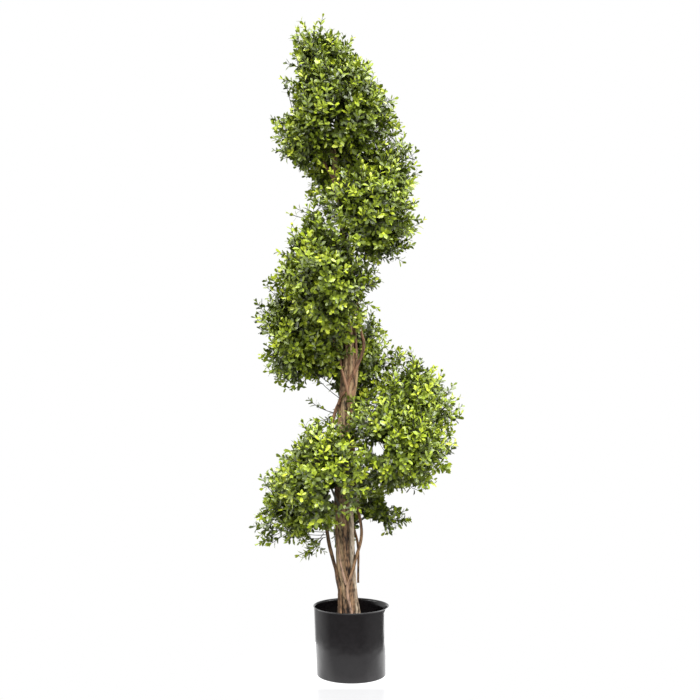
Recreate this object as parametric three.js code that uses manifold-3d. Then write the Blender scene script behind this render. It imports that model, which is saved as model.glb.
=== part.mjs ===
// An artificial spiral topiary, 1.4 m tall: a ribbon of small-leaved foliage that winds three and a half
// times round a crooked natural stem, with dry vines twisted about it, set in mortar in a black plastic pot.
// Millimetres, +Z up. The origin is the middle of the pot's flat underside and +X is the viewer's right. The
// ribbon starts low on the right, goes round behind the stem and climbs anticlockwise, seen from above.
import * as THREE from "three";
import { mergeVertices } from "three/addons/utils/BufferGeometryUtils.js";
import Module from "manifold-3d";

const wasm = await Module();
wasm.setup();

// ---- Driving dimensions ----
const GAP = 0.3; // clearance between pieces that touch

// A thin injection-moulded pot. It is a round tub that widens a little and turns outwards at its rim. The rim
// is pulled out into a lip on one side, and the whole wall leans a little. Its profile is given unwidened.
const POT = { radius: 75.2, height: 148, wall: 2.4, floor: 3, edge: 2.5 };
const RIM = { out: 1.3, deep: 5, wall: 2, round: 0.6 };
const LIP = { facing: 5, reach: 5, spread: 38, deep: 14 };
const POT_TAPER = 0.036; // the share by which the rim is wider than the base
const POT_LEAN = 3; // how far the rim stands over to the left of the base
const POT_SIDES = 36;

// The mortar's level, how much it rises to the middle, and the height of the stem's cut foot inside it.
const MORTAR = { top: 106, crown: 2.5, foot: 66 };

// The stem's middle line and its thickness: [height, x, y, radius].
const STEM_LINE = [
  [MORTAR.foot, -8, 0, 17],
  [140, -8, 0, 17],
  [280, -17, 2, 17.8],
  [430, -18, 0, 17],
  [540, -13, -1, 16.3],
  [650, -4.5, -2, 17.3],
  [740, -2, 0, 12],
  [920, -11, 4, 10],
  [1100, -35, 0, 7],
  [1335, -75, -2, 2.5],
];
const FLARE = { most: 12, height: 30 }; // how far the foot spreads, and how far up that fades
const FLUTES = { count: 5, depth: 0.07, turn: 0.03 }; // turn: radians for each millimetre up
const STEM_TOP = STEM_LINE.at(-1)[0];

// Stems that lie against the trunk. Each has its width at the foot and the top, and its way up as
// [height, angle round the trunk, lift off the bark]; a raised stretch arches clear of the trunk.
const CLIMBERS = {
  side_stem: {
    width: [14, 9],
    way: [
      [70, 338, -7], [140, 338, -7], [185, 337, -6], [230, 336, -4], [280, 333, -2.5], [340, 326, -3],
      [400, 318, -4],
    ],
  },
  vine_left: {
    width: [8, 6.5],
    way: [
      [70, 230, 0], [150, 230, 0], [190, 227, 0], [208, 210, 0], [225, 203, 0], [243, 192, 3], [289, 183, 11],
      [345, 180, 14], [430, 182, 9], [539, 187, 6], [568, 195, 3], [595, 224, 0], [611, 255, 0],
      [633, 273, 0], [650, 297, 0], [668, 333, 0], [687, 345, 6], [713, 350, 11], [740, 352, 6],
      [820, 390, 1], [930, 425, 0],
    ],
  },
  vine_front: {
    width: [5, 4.4],
    way: [[196, 270, 0], [235, 248, 0], [262, 238, 0], [300, 230, 0], [400, 225, 0], [490, 232, 0]],
  },
  vine_hanging: {
    width: [5, 4.6],
    way: [
      [197, 357, 6], [252, 357, 9], [284, 362, 9], [302, 364, 6], [322, 366, 2], [380, 366, 0],
      [450, 372, 0],
    ],
  },
  vine_upper: {
    width: [5.6, 4.6],
    way: [[680, 318, 0], [708, 322, 0], [732, 316, 0], [800, 305, 0], [900, 300, 0]],
  },
  vine_right: {
    width: [6.6, 6.6],
    way: [
      [70, 300, 0], [134, 290, 0], [185, 275, 0], [203, 288, 0], [218, 304, 1], [235, 319, 5],
      [260, 335, 10], [283, 345, 15], [310, 351, 18], [343, 354, 15], [400, 350, 8], [470, 340, 3],
      [540, 320, 1], [570, 298, 2], [593, 280, 5], [611, 269, 8], [630, 257, 8], [650, 236, 4],
      [668, 206, 1], [685, 195, 6], [702, 187, 14], [735, 183, 27],
    ],
  },
  vine_top: {
    width: [9, 7],
    way: [[870, 300, 0], [960, 268, 0], [1040, 240, 0], [1068, 228, 1], [1088, 205, 8], [1104, 194, 15]],
  },
};

// The ribbon of foliage, a row for each half turn: [angle gone round, height, reach of its middle from the
// ribbon's axis, half its width, half its depth]. At 0 the ribbon is on the right and at 180 on the left.
const RIBBON = [
  [0, 350, 40, 49, 51],
  [180, 393, 107, 104, 117],
  [360, 543, 134, 105, 105],
  [540, 778, 93, 105, 142],
  [720, 1050, 87, 89, 100],
  [900, 1196, 68, 60, 110],
  [1080, 1222, 61, 66, 99],
  [1260, 1353, 16, 67, 56],
];
const HEIGHT = 1400;
// x of the ribbon's axis at the floor, and how far it leans by the full height.
const RIBBON_AXIS = { foot: 13, lean: -61 };
const MASSES = 18;
const FIRST_ANGLE = 30;
const LAST_ANGLE = 1235;
const MASS = { length: 38, share: 0.6, mostTilt: 25, uneven: 0.08, fineness: 2 };

// The radius kept bare of leaves round the stem, and how far that space runs past the tip.
const CORE = { foot: 46, top: 10, over: 6 };

// A bough leaves the stem under its mass's middle, by the share "drop" of the mass's half depth.
const BOUGH = { width: 6, end: 4, drop: 0.72, sag: 10 };

const degrees = THREE.MathUtils.degToRad;

// ---- Shapes and solids ----

// Rows of [place, value, value ...] as one smooth function of the place.
function smooth(rows) {
  const places = rows.map((row) => row[0]);
  const values = rows.flatMap((row) => row.slice(1));
  const line = new THREE.CubicInterpolant(places, values, rows[0].length - 1);
  return (place) => Array.from(line.evaluate(place));
}

// A closed skin: at(s, angle, share) gives the point at s from 0 to 1 along it and an angle round it, with
// share 0 at the middle of an end's flat cut and 1 on the surface.
function skin(sides, rings, at) {
  const geometry = new THREE.CylinderGeometry(1, 1, 1, sides, rings);
  const place = geometry.getAttribute("position");
  const p = new THREE.Vector3();
  for (let i = 0; i < place.count; i++) {
    p.fromBufferAttribute(place, i);
    const share = Math.round(Math.hypot(p.x, p.z));
    p.copy(at(p.y + 0.5, Math.atan2(-p.z, p.x), share));
    place.setXYZ(i, p.x, p.y, p.z);
  }
  return geometry;
}

// A round limb along a curve, with radiusAt(s) its radius.
function limb(curve, sides, rings, radiusAt) {
  const frames = curve.computeFrenetFrames(rings);
  return skin(sides, rings, (s, angle, share) => {
    const i = Math.round(s * rings);
    return curve
      .getPointAt(s)
      .addScaledVector(frames.normals[i], share * radiusAt(s) * Math.cos(angle))
      .addScaledVector(frames.binormals[i], share * radiusAt(s) * Math.sin(angle));
  });
}

function solid(geometry) {
  const bare = geometry.clone().deleteAttribute("normal").deleteAttribute("uv");
  const merged = mergeVertices(bare, 1e-3);
  return new wasm.Manifold(
    new wasm.Mesh({
      numProp: 3,
      vertProperties: merged.getAttribute("position").array,
      triVerts: new Uint32Array(merged.index.array),
    }),
  );
}

// The geometry of a solid's largest body, so that no crumb of a cut is left beside it.
function geometryOf(manifold) {
  const body = manifold.decompose().reduce((a, b) => (b.volume() > a.volume() ? b : a));
  const { vertProperties, triVerts } = body.getMesh();
  const geometry = new THREE.BufferGeometry();
  geometry.setAttribute("position", new THREE.BufferAttribute(vertProperties, 3));
  geometry.setIndex(new THREE.BufferAttribute(triVerts, 1));
  geometry.computeVertexNormals();
  return geometry;
}

const subtractAll = (body, others) => others.reduce((left, other) => left.subtract(other), body);

// ---- Trunk ----
const stemLine = smooth(STEM_LINE);

function stemMiddle(height) {
  const [x, y] = stemLine(height);
  return new THREE.Vector3(x, y, height);
}

// The trunk's radius: its thickness at the height, a root flare at the mortar, and shallow flutes that turn
// as they climb.
function stemRadius(height, angle) {
  const thickness = stemLine(height)[2];
  const flare = FLARE.most * Math.exp(-Math.max(height - MORTAR.top, 0) / FLARE.height);
  const flute = 1 + FLUTES.depth * Math.sin(FLUTES.count * angle + FLUTES.turn * height);
  return (thickness + flare) * flute;
}

// The point at a height, an angle round the stem and a distance from its middle line.
function besideStem(height, angle, out) {
  return stemMiddle(height).add(new THREE.Vector3(out * Math.cos(angle), out * Math.sin(angle), 0));
}

function stemSolid(grow) {
  return solid(
    skin(15, 22, (s, angle, share) => {
      const height = THREE.MathUtils.lerp(MORTAR.foot, STEM_TOP, s);
      return besideStem(height, angle, share * (stemRadius(height, angle) + grow));
    }),
  );
}

// The space round the stem that the leaves leave bare.
function coreSolid(grow) {
  return solid(
    skin(8, 10, (s, angle, share) => {
      const height = THREE.MathUtils.lerp(MORTAR.top, STEM_TOP + CORE.over, s);
      return besideStem(height, angle, share * (THREE.MathUtils.lerp(CORE.foot, CORE.top, s) + grow));
    }),
  );
}

// ---- Climbing stems and vines ----
function climberSolid({ width, way }, grow) {
  const [foot, top] = width;
  const wayAt = smooth(way);
  const first = way[0][0];
  const last = way.at(-1)[0];
  const steps = Math.max(8, Math.round((last - first) / 30));
  const points = [];
  for (let i = 0; i <= steps; i++) {
    const s = i / steps;
    const height = THREE.MathUtils.lerp(first, last, s);
    const [turned, lift] = wayAt(height);
    const angle = degrees(turned);
    const radius = THREE.MathUtils.lerp(foot, top, s) / 2;
    points.push(besideStem(height, angle, stemRadius(height, angle) + radius + GAP + lift));
  }
  const curve = new THREE.CatmullRomCurve3(points);
  return solid(limb(curve, 6, steps, (s) => THREE.MathUtils.lerp(foot, top, s) / 2 + grow));
}

// ---- Foliage masses ----
const ribbonAt = smooth(RIBBON);

// The middle, directions and half sizes of the mass at an angle round the ribbon.
function massFrame(turned, index) {
  const [height, reach, half, tall] = ribbonAt(turned);
  const angle = degrees(turned);
  const step = 5;
  const rise = (ribbonAt(turned + step)[0] - ribbonAt(turned - step)[0]) / degrees(2 * step);
  const tilt = Math.min(Math.atan2(rise, Math.max(reach, 10)), degrees(MASS.mostTilt));
  const axis = RIBBON_AXIS.foot + RIBBON_AXIS.lean * (height / HEIGHT) ** 2;
  const outward = new THREE.Vector3(Math.cos(angle), Math.sin(angle), 0);
  const sideways = new THREE.Vector3(-Math.sin(angle), Math.cos(angle), 0);
  const onward = sideways.multiplyScalar(Math.cos(tilt)).setZ(Math.sin(tilt));
  return {
    index,
    middle: new THREE.Vector3(axis, 0, height).addScaledVector(outward, reach),
    outward,
    onward,
    upward: outward.clone().cross(onward),
    half: [half, MASS.length + MASS.share * half, tall],
  };
}

// A lumpy egg: each direction's half size swells and sinks by a few waves that differ from mass to mass.
function massSolid({ index, middle, outward, onward, upward, half }, grow) {
  const geometry = new THREE.IcosahedronGeometry(1, MASS.fineness);
  const place = geometry.getAttribute("position");
  const d = new THREE.Vector3();
  for (let i = 0; i < place.count; i++) {
    d.fromBufferAttribute(place, i);
    const broad = Math.sin(5.1 * d.x + 1.3 * index) * Math.sin(4.3 * d.z + 2.1 * index);
    const narrow = 0.7 * Math.sin(6.2 * d.y + 0.9 * index) * Math.cos(5 * d.z - index);
    const swell = 1 + MASS.uneven * (broad + narrow);
    const p = middle
      .clone()
      .addScaledVector(outward, d.x * (half[0] * swell + grow))
      .addScaledVector(onward, d.y * (half[1] * swell + grow))
      .addScaledVector(upward, d.z * (half[2] * swell + grow));
    place.setXYZ(i, p.x, p.y, p.z);
  }
  return solid(geometry);
}

// A mass cut flat where it meets each neighbour that it overlaps, so that the two press face to face.
function pressedMass(frame, frames, whole) {
  let body = whole[frame.index];
  for (const other of frames) {
    if (other === frame || whole[frame.index].intersect(whole[other.index]).isEmpty()) continue;
    const toward = other.middle.clone().sub(frame.middle);
    const apart = toward.length();
    toward.normalize();
    const along = (f) => [f.outward, f.onward, f.upward].map((way, j) => toward.dot(way) * f.half[j]);
    const reachOf = (f) => Math.hypot(...along(f));
    const share = reachOf(frame) / (reachOf(frame) + reachOf(other));
    const offset = frame.middle.dot(toward) + apart * share - GAP / 2;
    body = body.trimByPlane(toward.clone().negate().toArray(), -offset);
  }
  return body;
}

// ---- Boughs ----

// A wire limb from the trunk up into the middle of a mass, rising in a shallow sag.
function boughSolid(frame, grow) {
  const height = Math.min(frame.middle.z - BOUGH.drop * frame.half[2], STEM_TOP - 30);
  const root = stemMiddle(height);
  const bend = root.clone().lerp(frame.middle, 0.5);
  bend.z -= BOUGH.sag;
  const curve = new THREE.QuadraticBezierCurve3(root, bend, frame.middle);
  return solid(limb(curve, 6, 7, (s) => THREE.MathUtils.lerp(BOUGH.width, BOUGH.end, s) / 2 + grow));
}

// ---- Pot and mortar ----

// Moves the points of a round shape as the pot's wall runs: outwards and over to the left with height, and
// out at the lip.
function bendWall(geometry) {
  geometry.rotateX(Math.PI / 2);
  const place = geometry.getAttribute("position");
  for (let i = 0; i < place.count; i++) {
    const x = place.getX(i);
    const y = place.getY(i);
    const z = place.getZ(i);
    const off = THREE.MathUtils.radToDeg(Math.atan2(y, x)) - LIP.facing;
    const rise = THREE.MathUtils.smoothstep(z, POT.height - LIP.deep, POT.height);
    const lip = (LIP.reach / POT.radius) * rise * Math.exp(-((off / LIP.spread) ** 2));
    const out = 1 + lip + POT_TAPER * (z / POT.height);
    place.setXYZ(i, x * out - POT_LEAN * (z / POT.height), y * out, z);
  }
  return geometry;
}

const outline = (points) => points.map(([x, y]) => new THREE.Vector2(x, y));

function potGeometry() {
  const inside = POT.radius - POT.wall;
  const rim = POT.radius + RIM.out;
  const mouth = rim - RIM.wall;
  const profile = outline([
    [0, 0],
    [POT.radius - POT.edge, 0],
    [POT.radius, POT.edge],
    [POT.radius, POT.height - LIP.deep],
    [POT.radius, POT.height - (LIP.deep + RIM.deep) / 2],
    [POT.radius, POT.height - RIM.deep],
    [rim, POT.height - RIM.round],
    [rim - RIM.round, POT.height],
    [mouth + RIM.round, POT.height],
    [mouth, POT.height - RIM.round],
    [inside, POT.height - RIM.deep],
    [inside, POT.height - LIP.deep],
    [inside, POT.floor],
    [0, POT.floor],
  ]);
  return bendWall(new THREE.LatheGeometry(profile, POT_SIDES));
}

// The mortar fills the pot to its level round the stems, a little crowned towards the middle.
function mortarSolid() {
  const radius = POT.radius - POT.wall - GAP;
  const profile = outline([
    [0, POT.floor + GAP],
    [radius, POT.floor + GAP],
    [radius, MORTAR.top],
    [0.55 * radius, MORTAR.top + MORTAR.crown],
    [0, MORTAR.top + MORTAR.crown],
  ]);
  return solid(bendWall(new THREE.LatheGeometry(profile, POT_SIDES)));
}

// ---- Assembly ----
const plastic = new THREE.MeshStandardMaterial({ color: 0x2b292c, roughness: 0.35, metalness: 0 });
const mortar = new THREE.MeshStandardMaterial({ color: 0x4a4641, roughness: 0.95, metalness: 0 });
const bark = new THREE.MeshStandardMaterial({ color: 0x8a6f56, roughness: 0.85, metalness: 0 });
const paleWood = new THREE.MeshStandardMaterial({ color: 0xc9b79c, roughness: 0.8, metalness: 0 });
const vineBark = new THREE.MeshStandardMaterial({ color: 0x7c513c, roughness: 0.75, metalness: 0 });
const wire = new THREE.MeshStandardMaterial({ color: 0x2e3320, roughness: 0.6, metalness: 0 });
const leaves = new THREE.MeshStandardMaterial({ color: 0x5f8a2e, roughness: 0.5, metalness: 0 });

const topiary = new THREE.Group();
topiary.name = "spiral_topiary";

function add(name, geometry, material) {
  const mesh = new THREE.Mesh(geometry, material);
  mesh.name = name;
  topiary.add(mesh);
}

add("pot", potGeometry(), plastic);
add("trunk", geometryOf(stemSolid(0)), bark);

// Each climber is cut clear of the trunk and of the climbers under it.
const wood = [stemSolid(GAP)];
for (const [name, climber] of Object.entries(CLIMBERS)) {
  const material = name === "side_stem" ? paleWood : vineBark;
  add(name, geometryOf(subtractAll(climberSolid(climber, 0), wood)), material);
  wood.push(climberSolid(climber, GAP));
}
add("mortar", geometryOf(subtractAll(mortarSolid(), wood)), mortar);

const frames = Array.from({ length: MASSES }, (_, i) =>
  massFrame(THREE.MathUtils.lerp(FIRST_ANGLE, LAST_ANGLE, i / (MASSES - 1)), i),
);
const core = coreSolid(0);
const narrowCore = coreSolid(-GAP);
const whole = frames.map((frame) => massSolid(frame, 0));
const wide = frames.map((frame) => massSolid(frame, GAP).subtract(narrowCore));
for (const frame of frames) {
  const number = String(frame.index + 1).padStart(2, "0");
  const mass = subtractAll(pressedMass(frame, frames, whole), [core, ...wood]);
  const bough = subtractAll(boughSolid(frame, 0), [...wood, ...wide]);
  add(`leaf_mass_${number}`, geometryOf(mass), leaves);
  add(`bough_${number}`, geometryOf(bough), wire);
}

export default topiary;
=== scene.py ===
"""An artificial spiral topiary, 1.4 m tall, in its black plastic pot.

Metres, +Z up, standing on the origin, with +X to the viewer's right. A crooked natural stem wrapped in dry
vines stands in mortar. Coated wire boughs leave it for eighteen masses of foliage, which lie along a
ribbon that climbs anticlockwise round the stem. In each mass, limbs part from the bough, and twigs from
the limbs, and each twig carries crossed pairs of small plastic leaves, lime green at its tip and darker
down its length.
"""

import math

import bpy
import numpy as np
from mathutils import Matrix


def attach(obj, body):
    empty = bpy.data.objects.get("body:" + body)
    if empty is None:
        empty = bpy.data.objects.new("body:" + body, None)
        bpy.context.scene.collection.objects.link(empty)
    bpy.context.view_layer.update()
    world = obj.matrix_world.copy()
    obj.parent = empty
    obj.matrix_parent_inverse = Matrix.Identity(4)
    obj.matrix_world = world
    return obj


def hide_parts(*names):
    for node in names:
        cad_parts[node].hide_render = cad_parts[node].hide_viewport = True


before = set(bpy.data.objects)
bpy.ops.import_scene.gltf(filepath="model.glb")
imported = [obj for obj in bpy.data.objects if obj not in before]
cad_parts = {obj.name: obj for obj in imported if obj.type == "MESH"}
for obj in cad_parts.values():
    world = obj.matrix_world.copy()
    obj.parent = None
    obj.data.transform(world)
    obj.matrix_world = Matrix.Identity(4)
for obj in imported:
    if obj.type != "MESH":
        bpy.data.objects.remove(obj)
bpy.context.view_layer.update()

MM = 0.001
DEG = math.pi / 180
TURN = 2 * math.pi
random = np.random.default_rng(1404)

# ---- Sizes that the CAD part has too ----
GAP = 0.3 * MM
POT = {"radius": 75.2 * MM, "height": 148 * MM, "wall": 2.4 * MM, "floor": 3 * MM, "edge": 2.5 * MM}
RIM = {"out": 1.3 * MM, "flared": 5 * MM, "round": 0.6 * MM, "wall": 1.6 * MM}
LIP = {"facing": 5 * DEG, "reach": 5 * MM, "spread": 38 * DEG, "deep": 14 * MM}
POT_TAPER = 0.036
POT_LEAN = 3 * MM
MORTAR = {"top": 106 * MM, "crown": 2.5 * MM, "foot": 66 * MM}

# The stem's middle line and thickness: height, x, y, radius.
STEM_LINE = MM * np.array([
    [66, -8, 0, 17], [140, -8, 0, 17], [280, -17, 2, 17.8], [430, -18, 0, 17], [540, -13, -1, 16.3],
    [650, -4.5, -2, 17.3], [740, -2, 0, 12], [920, -11, 4, 10], [1100, -35, 0, 7], [1335, -75, -2, 2.5],
])
FLARE = {"most": 12 * MM, "height": 30 * MM}
FLUTES = {"count": 5, "depth": 0.07, "turn": 30}
STEM_TOP = STEM_LINE[-1, 0]

# Stems that lie against the trunk: widths at the foot and the top, and the way up as height, angle round the
# trunk and lift off the bark.
WAY = [MM, DEG, MM]
CLIMBERS = {
    "side_stem": (
        [14, 9],
        [
            [70, 338, -7], [140, 338, -7], [185, 337, -6], [230, 336, -4], [280, 333, -2.5],
            [340, 326, -3], [400, 318, -4],
        ],
    ),
    "vine_left": (
        [8, 6.5],
        [
            [70, 230, 0], [150, 230, 0], [190, 227, 0], [208, 210, 0], [225, 203, 0], [243, 192, 3],
            [289, 183, 11], [345, 180, 14], [430, 182, 9], [539, 187, 6], [568, 195, 3], [595, 224, 0],
            [611, 255, 0], [633, 273, 0], [650, 297, 0], [668, 333, 0], [687, 345, 6], [713, 350, 11],
            [740, 352, 6], [820, 390, 1], [930, 425, 0],
        ],
    ),
    "vine_front": (
        [5, 4.4],
        [[196, 270, 0], [235, 248, 0], [262, 238, 0], [300, 230, 0], [400, 225, 0], [490, 232, 0]],
    ),
    "vine_hanging": (
        [5, 4.6],
        [
            [197, 357, 6], [252, 357, 9], [284, 362, 9], [302, 364, 6], [322, 366, 2], [380, 366, 0],
            [450, 372, 0],
        ],
    ),
    "vine_upper": ([5.6, 4.6], [[680, 318, 0], [708, 322, 0], [732, 316, 0], [800, 305, 0], [900, 300, 0]]),
    "vine_right": (
        [6.6, 6.6],
        [
            [70, 300, 0], [134, 290, 0], [185, 275, 0], [203, 288, 0], [218, 304, 1], [235, 319, 5],
            [260, 335, 10], [283, 345, 15], [310, 351, 18], [343, 354, 15], [400, 350, 8], [470, 340, 3],
            [540, 320, 1], [570, 298, 2], [593, 280, 5], [611, 269, 8], [630, 257, 8], [650, 236, 4],
            [668, 206, 1], [685, 195, 6], [702, 187, 14], [735, 183, 27],
        ],
    ),
    "vine_top": (
        [9, 7],
        [[870, 300, 0], [960, 268, 0], [1040, 240, 0], [1068, 228, 1], [1088, 205, 8], [1104, 194, 15]],
    ),
}

# The ribbon of foliage by the half turn: angle gone round, height, reach of its middle, half width outward,
# half depth up and down.
RIBBON = [DEG, MM, MM, MM, MM] * np.array([
    [0, 350, 40, 49, 51], [180, 393, 107, 104, 117], [360, 543, 134, 105, 105], [540, 778, 93, 105, 142],
    [720, 1050, 87, 89, 100], [900, 1196, 68, 60, 110], [1080, 1222, 61, 66, 99], [1260, 1353, 16, 67, 56],
])
HEIGHT = 1.4
RIBBON_AXIS = {"foot": 13 * MM, "lean": -61 * MM}  # the line it winds round: x at the foot, and its bend
MASSES = 18
FIRST_ANGLE = 30 * DEG
LAST_ANGLE = 1235 * DEG
# A mass's half length is a length and a share of its half width. It tilts with the ribbon up to a limit, and
# its skin is uneven.
MASS = {"length": 38 * MM, "share": 0.6, "most_tilt": 25 * DEG, "uneven": 0.08}
# The bare space round the stem: its radius at the foot and the top, and how far it goes over the stem's end.
CORE = {"foot": 46 * MM, "top": 10 * MM, "over": 6 * MM}
# A bough's radius at the stem and at its end, how far under the mass's middle it starts, as a share of the
# mass's half depth, and how far it sags.
BOUGH = {"radius": (3 * MM, 2 * MM), "drop": 0.72, "sag": 10 * MM}

# ---- Sizes of the bark ----
# Climbers bared to pale wood up to a height. The others are darkened with painted shade up to a height, low
# on the stem. Both fade out over a last stretch below that height.
PALE_BELOW = {"vine_right": 230 * MM, "vine_front": 290 * MM}
PAINTED_SHADE_BELOW = 230 * MM
WEAR_AND_SHADE_FADE = 60 * MM
# Their bark is younger from a height up, over a fade.
YOUNG_ABOVE = 300 * MM
YOUNG_FADE = 250 * MM
# Their strands of two sizes: how many go round a climber, how long they are, and each size's share.
CLIMBER_STRANDS = [(6, 70 * MM, 0.65), (13, 24 * MM, 0.35)]
CLIMBER_STEP = 2 * MM  # from one ring of a climber to the next

# The trunk's bark: how many fissures go round it, how long they are, and each size's share of the depth.
FISSURES = [(14, 85 * MM, 0.5), (33, 40 * MM, 0.3), (61, 16 * MM, 0.2)]
FISSURE_DEPTH = {"share": 0.16, "most": 2.6 * MM}
BANDS = {"around": 19, "lean": 0.25, "length": 130 * MM, "seed": 6}  # of barer and fresher bark
KNOTS = {"count": 60, "seed": 8, "radius": (2.5 * MM, 5 * MM), "bulge": 1.6 * MM, "eye": 1.2 * MM}
# Its patches: a foot darkened with painted shade, darkest to one side, a stretch over it that is pale at one
# side and dark at another, and young bark higher up. Each pair is the height where a patch begins and the
# height where it is full.
FOOT_SHADE_PATCH = (185 * MM, 135 * MM)
LOW_PATCH = (340 * MM, 240 * MM)
LOW_PATCH_START = (150 * MM, 190 * MM)
FOOT_SHADE_SIDE = 225 * DEG
PALE_SIDE = 205 * DEG
DARK_SIDE = {"facing": 285 * DEG, "spread": 32 * DEG}
YOUNG_BARK = {"height": 630 * MM, "spread": 90 * MM}

# ---- Sizes of the growth ----
MASSES_IN_PIECE = 3
# Limbs: how many part from each bough, how far out to the mass's skin they run, the stretch of the bough
# that they leave, how far they may run under a neighbour's skin, and how far they sag.
LIMB = {"count": 16, "reach": 0.58, "stretch": (0.35, 0.95), "under": 18 * MM, "sag": 6 * MM}
LIMB_RADIUS = [1.7 * MM, 1.0 * MM]
TWIG_RADIUS = [0.9 * MM, 0.5 * MM]
STRAY_RADIUS = [0.9 * MM, 0.6 * MM]
TWIG_LENGTH = 50 * MM  # a twig starts at the place on a limb nearest to this far behind its tip

# Twig tips lie in shells under the crown's skin: depth, spacing, scatter of the depth, pairs of leaves,
# and tone.
SHELLS = [
    (3 * MM, 21 * MM, 17 * MM, 5, 0),
    (22 * MM, 22 * MM, 13 * MM, 5, 1),
    (44 * MM, 27 * MM, 12 * MM, 4, 2),
    (72 * MM, 34 * MM, 12 * MM, 4, 3),
]
# A leaf's length, its width as a share of that, the spacing of the pairs, how far the first pair is from the
# tip, and the place along a leaf that an opening goes by.
LEAF = {"length": 15.5 * MM, "width": 0.5, "spacing": 9 * MM, "first": 1.5 * MM, "middle": 6 * MM}
# The leaves of a twig from the tip down: how far each pair spreads, its size, and its green's steps from
# the tip's.
LEAF_SPREAD = DEG * np.array([32, 48, 58])
LEAF_SIZES = np.array([0.72, 0.95, 1.05])
GREEN_STEPS = np.array([0, 0, 1, 2, 2, 3])
# For each tone, the odds that a twig's tip is no darker than each of the six greens. Deeper shells take
# darker greens, partly the plant's own and partly painted shade.
TIP_ODDS = np.array([
    [0.08, 0.38, 0.76, 0.95, 1, 1],
    [0.02, 0.14, 0.46, 0.80, 0.96, 1],
    [0, 0.02, 0.12, 0.45, 0.85, 1],
    [0, 0, 0.02, 0.2, 0.6, 1],
])

MERGE = 22 * MM  # how softly two masses run together where they meet
CLUMP = 42 * MM  # from one clump of sprays to the next
CLUMP_RISE = 11 * MM
SINK = 8 * MM  # how far the crown's skin lies inside the merged masses

# Local swells and hollows of the crown, seen from the front, from the top down: x, z, radius, and how far the
# skin stands out.
SWELLS = MM * np.array([
    [-96, 1416, 20, -18], [-40, 1408, 18, -14], [-62, 1396, 18, -14], [-112, 1394, 16, 16],
    [2, 1350, 24, -16], [-125, 1350, 22, -6], [38, 1332, 16, -18], [54, 1300, 16, -14],
    [-125, 1290, 20, -8], [62, 1288, 30, -28], [74, 1268, 24, -16], [88, 1244, 16, 8],
    [-132, 1244, 18, -14], [-140, 1226, 26, -26], [-150, 1225, 22, -14], [72, 1214, 18, 8],
    [109, 1190, 18, -10], [78, 1190, 20, 12], [-165, 1180, 24, 8], [102, 1176, 22, 20],
    [-160, 1172, 16, -10], [98, 1163, 18, 12], [116, 1163, 13, -14], [78, 1160, 24, 26],
    [57, 1150, 20, 14], [-138, 1098, 22, -16], [-108, 1062, 20, -14], [-72, 1028, 26, 24],
    [130, 1000, 20, 8], [-64, 984, 20, 10], [130, 950, 24, 12], [-134, 942, 34, -46], [0, 930, 20, 12],
    [-150, 905, 20, -12], [82, 890, 28, -26], [40, 880, 16, 12], [-168, 880, 20, 6], [62, 872, 16, -10],
    [52, 850, 14, 12], [-180, 840, 20, 12], [42, 830, 22, -10], [-199, 792, 20, 2], [46, 775, 22, 8],
    [-225, 770, 16, -12], [92, 732, 16, -12], [58, 728, 24, -14], [-195, 720, 26, -42], [-20, 712, 20, 28],
    [108, 694, 20, 20], [-192, 684, 16, 14], [100, 674, 18, 18], [-190, 660, 18, 10], [14, 590, 20, 34],
    [213, 588, 24, 3], [10, 560, 24, 40], [-116, 552, 20, -10], [230, 528, 16, 14], [-2, 522, 20, 36],
    [-130, 500, 24, -20], [222, 492, 30, 22], [-156, 468, 24, -24], [202, 462, 16, -8],
    [-162, 448, 14, -8], [-193, 446, 18, -16], [180, 418, 20, -8], [-200, 402, 22, -4],
    [132, 380, 26, -40], [83, 371, 24, -44], [104, 332, 18, 16], [-181, 330, 20, 14], [46, 322, 34, -26],
    [-162, 306, 18, 12], [-192, 296, 24, 30], [-199, 286, 14, -16], [-108, 284, 20, -12],
    [72, 280, 16, -30],
])
SWELL_REACH = 80 * MM  # before and behind the stem, they fade away over this distance
SWELL_END = 2.4  # and are gone this many reaches from it

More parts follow.
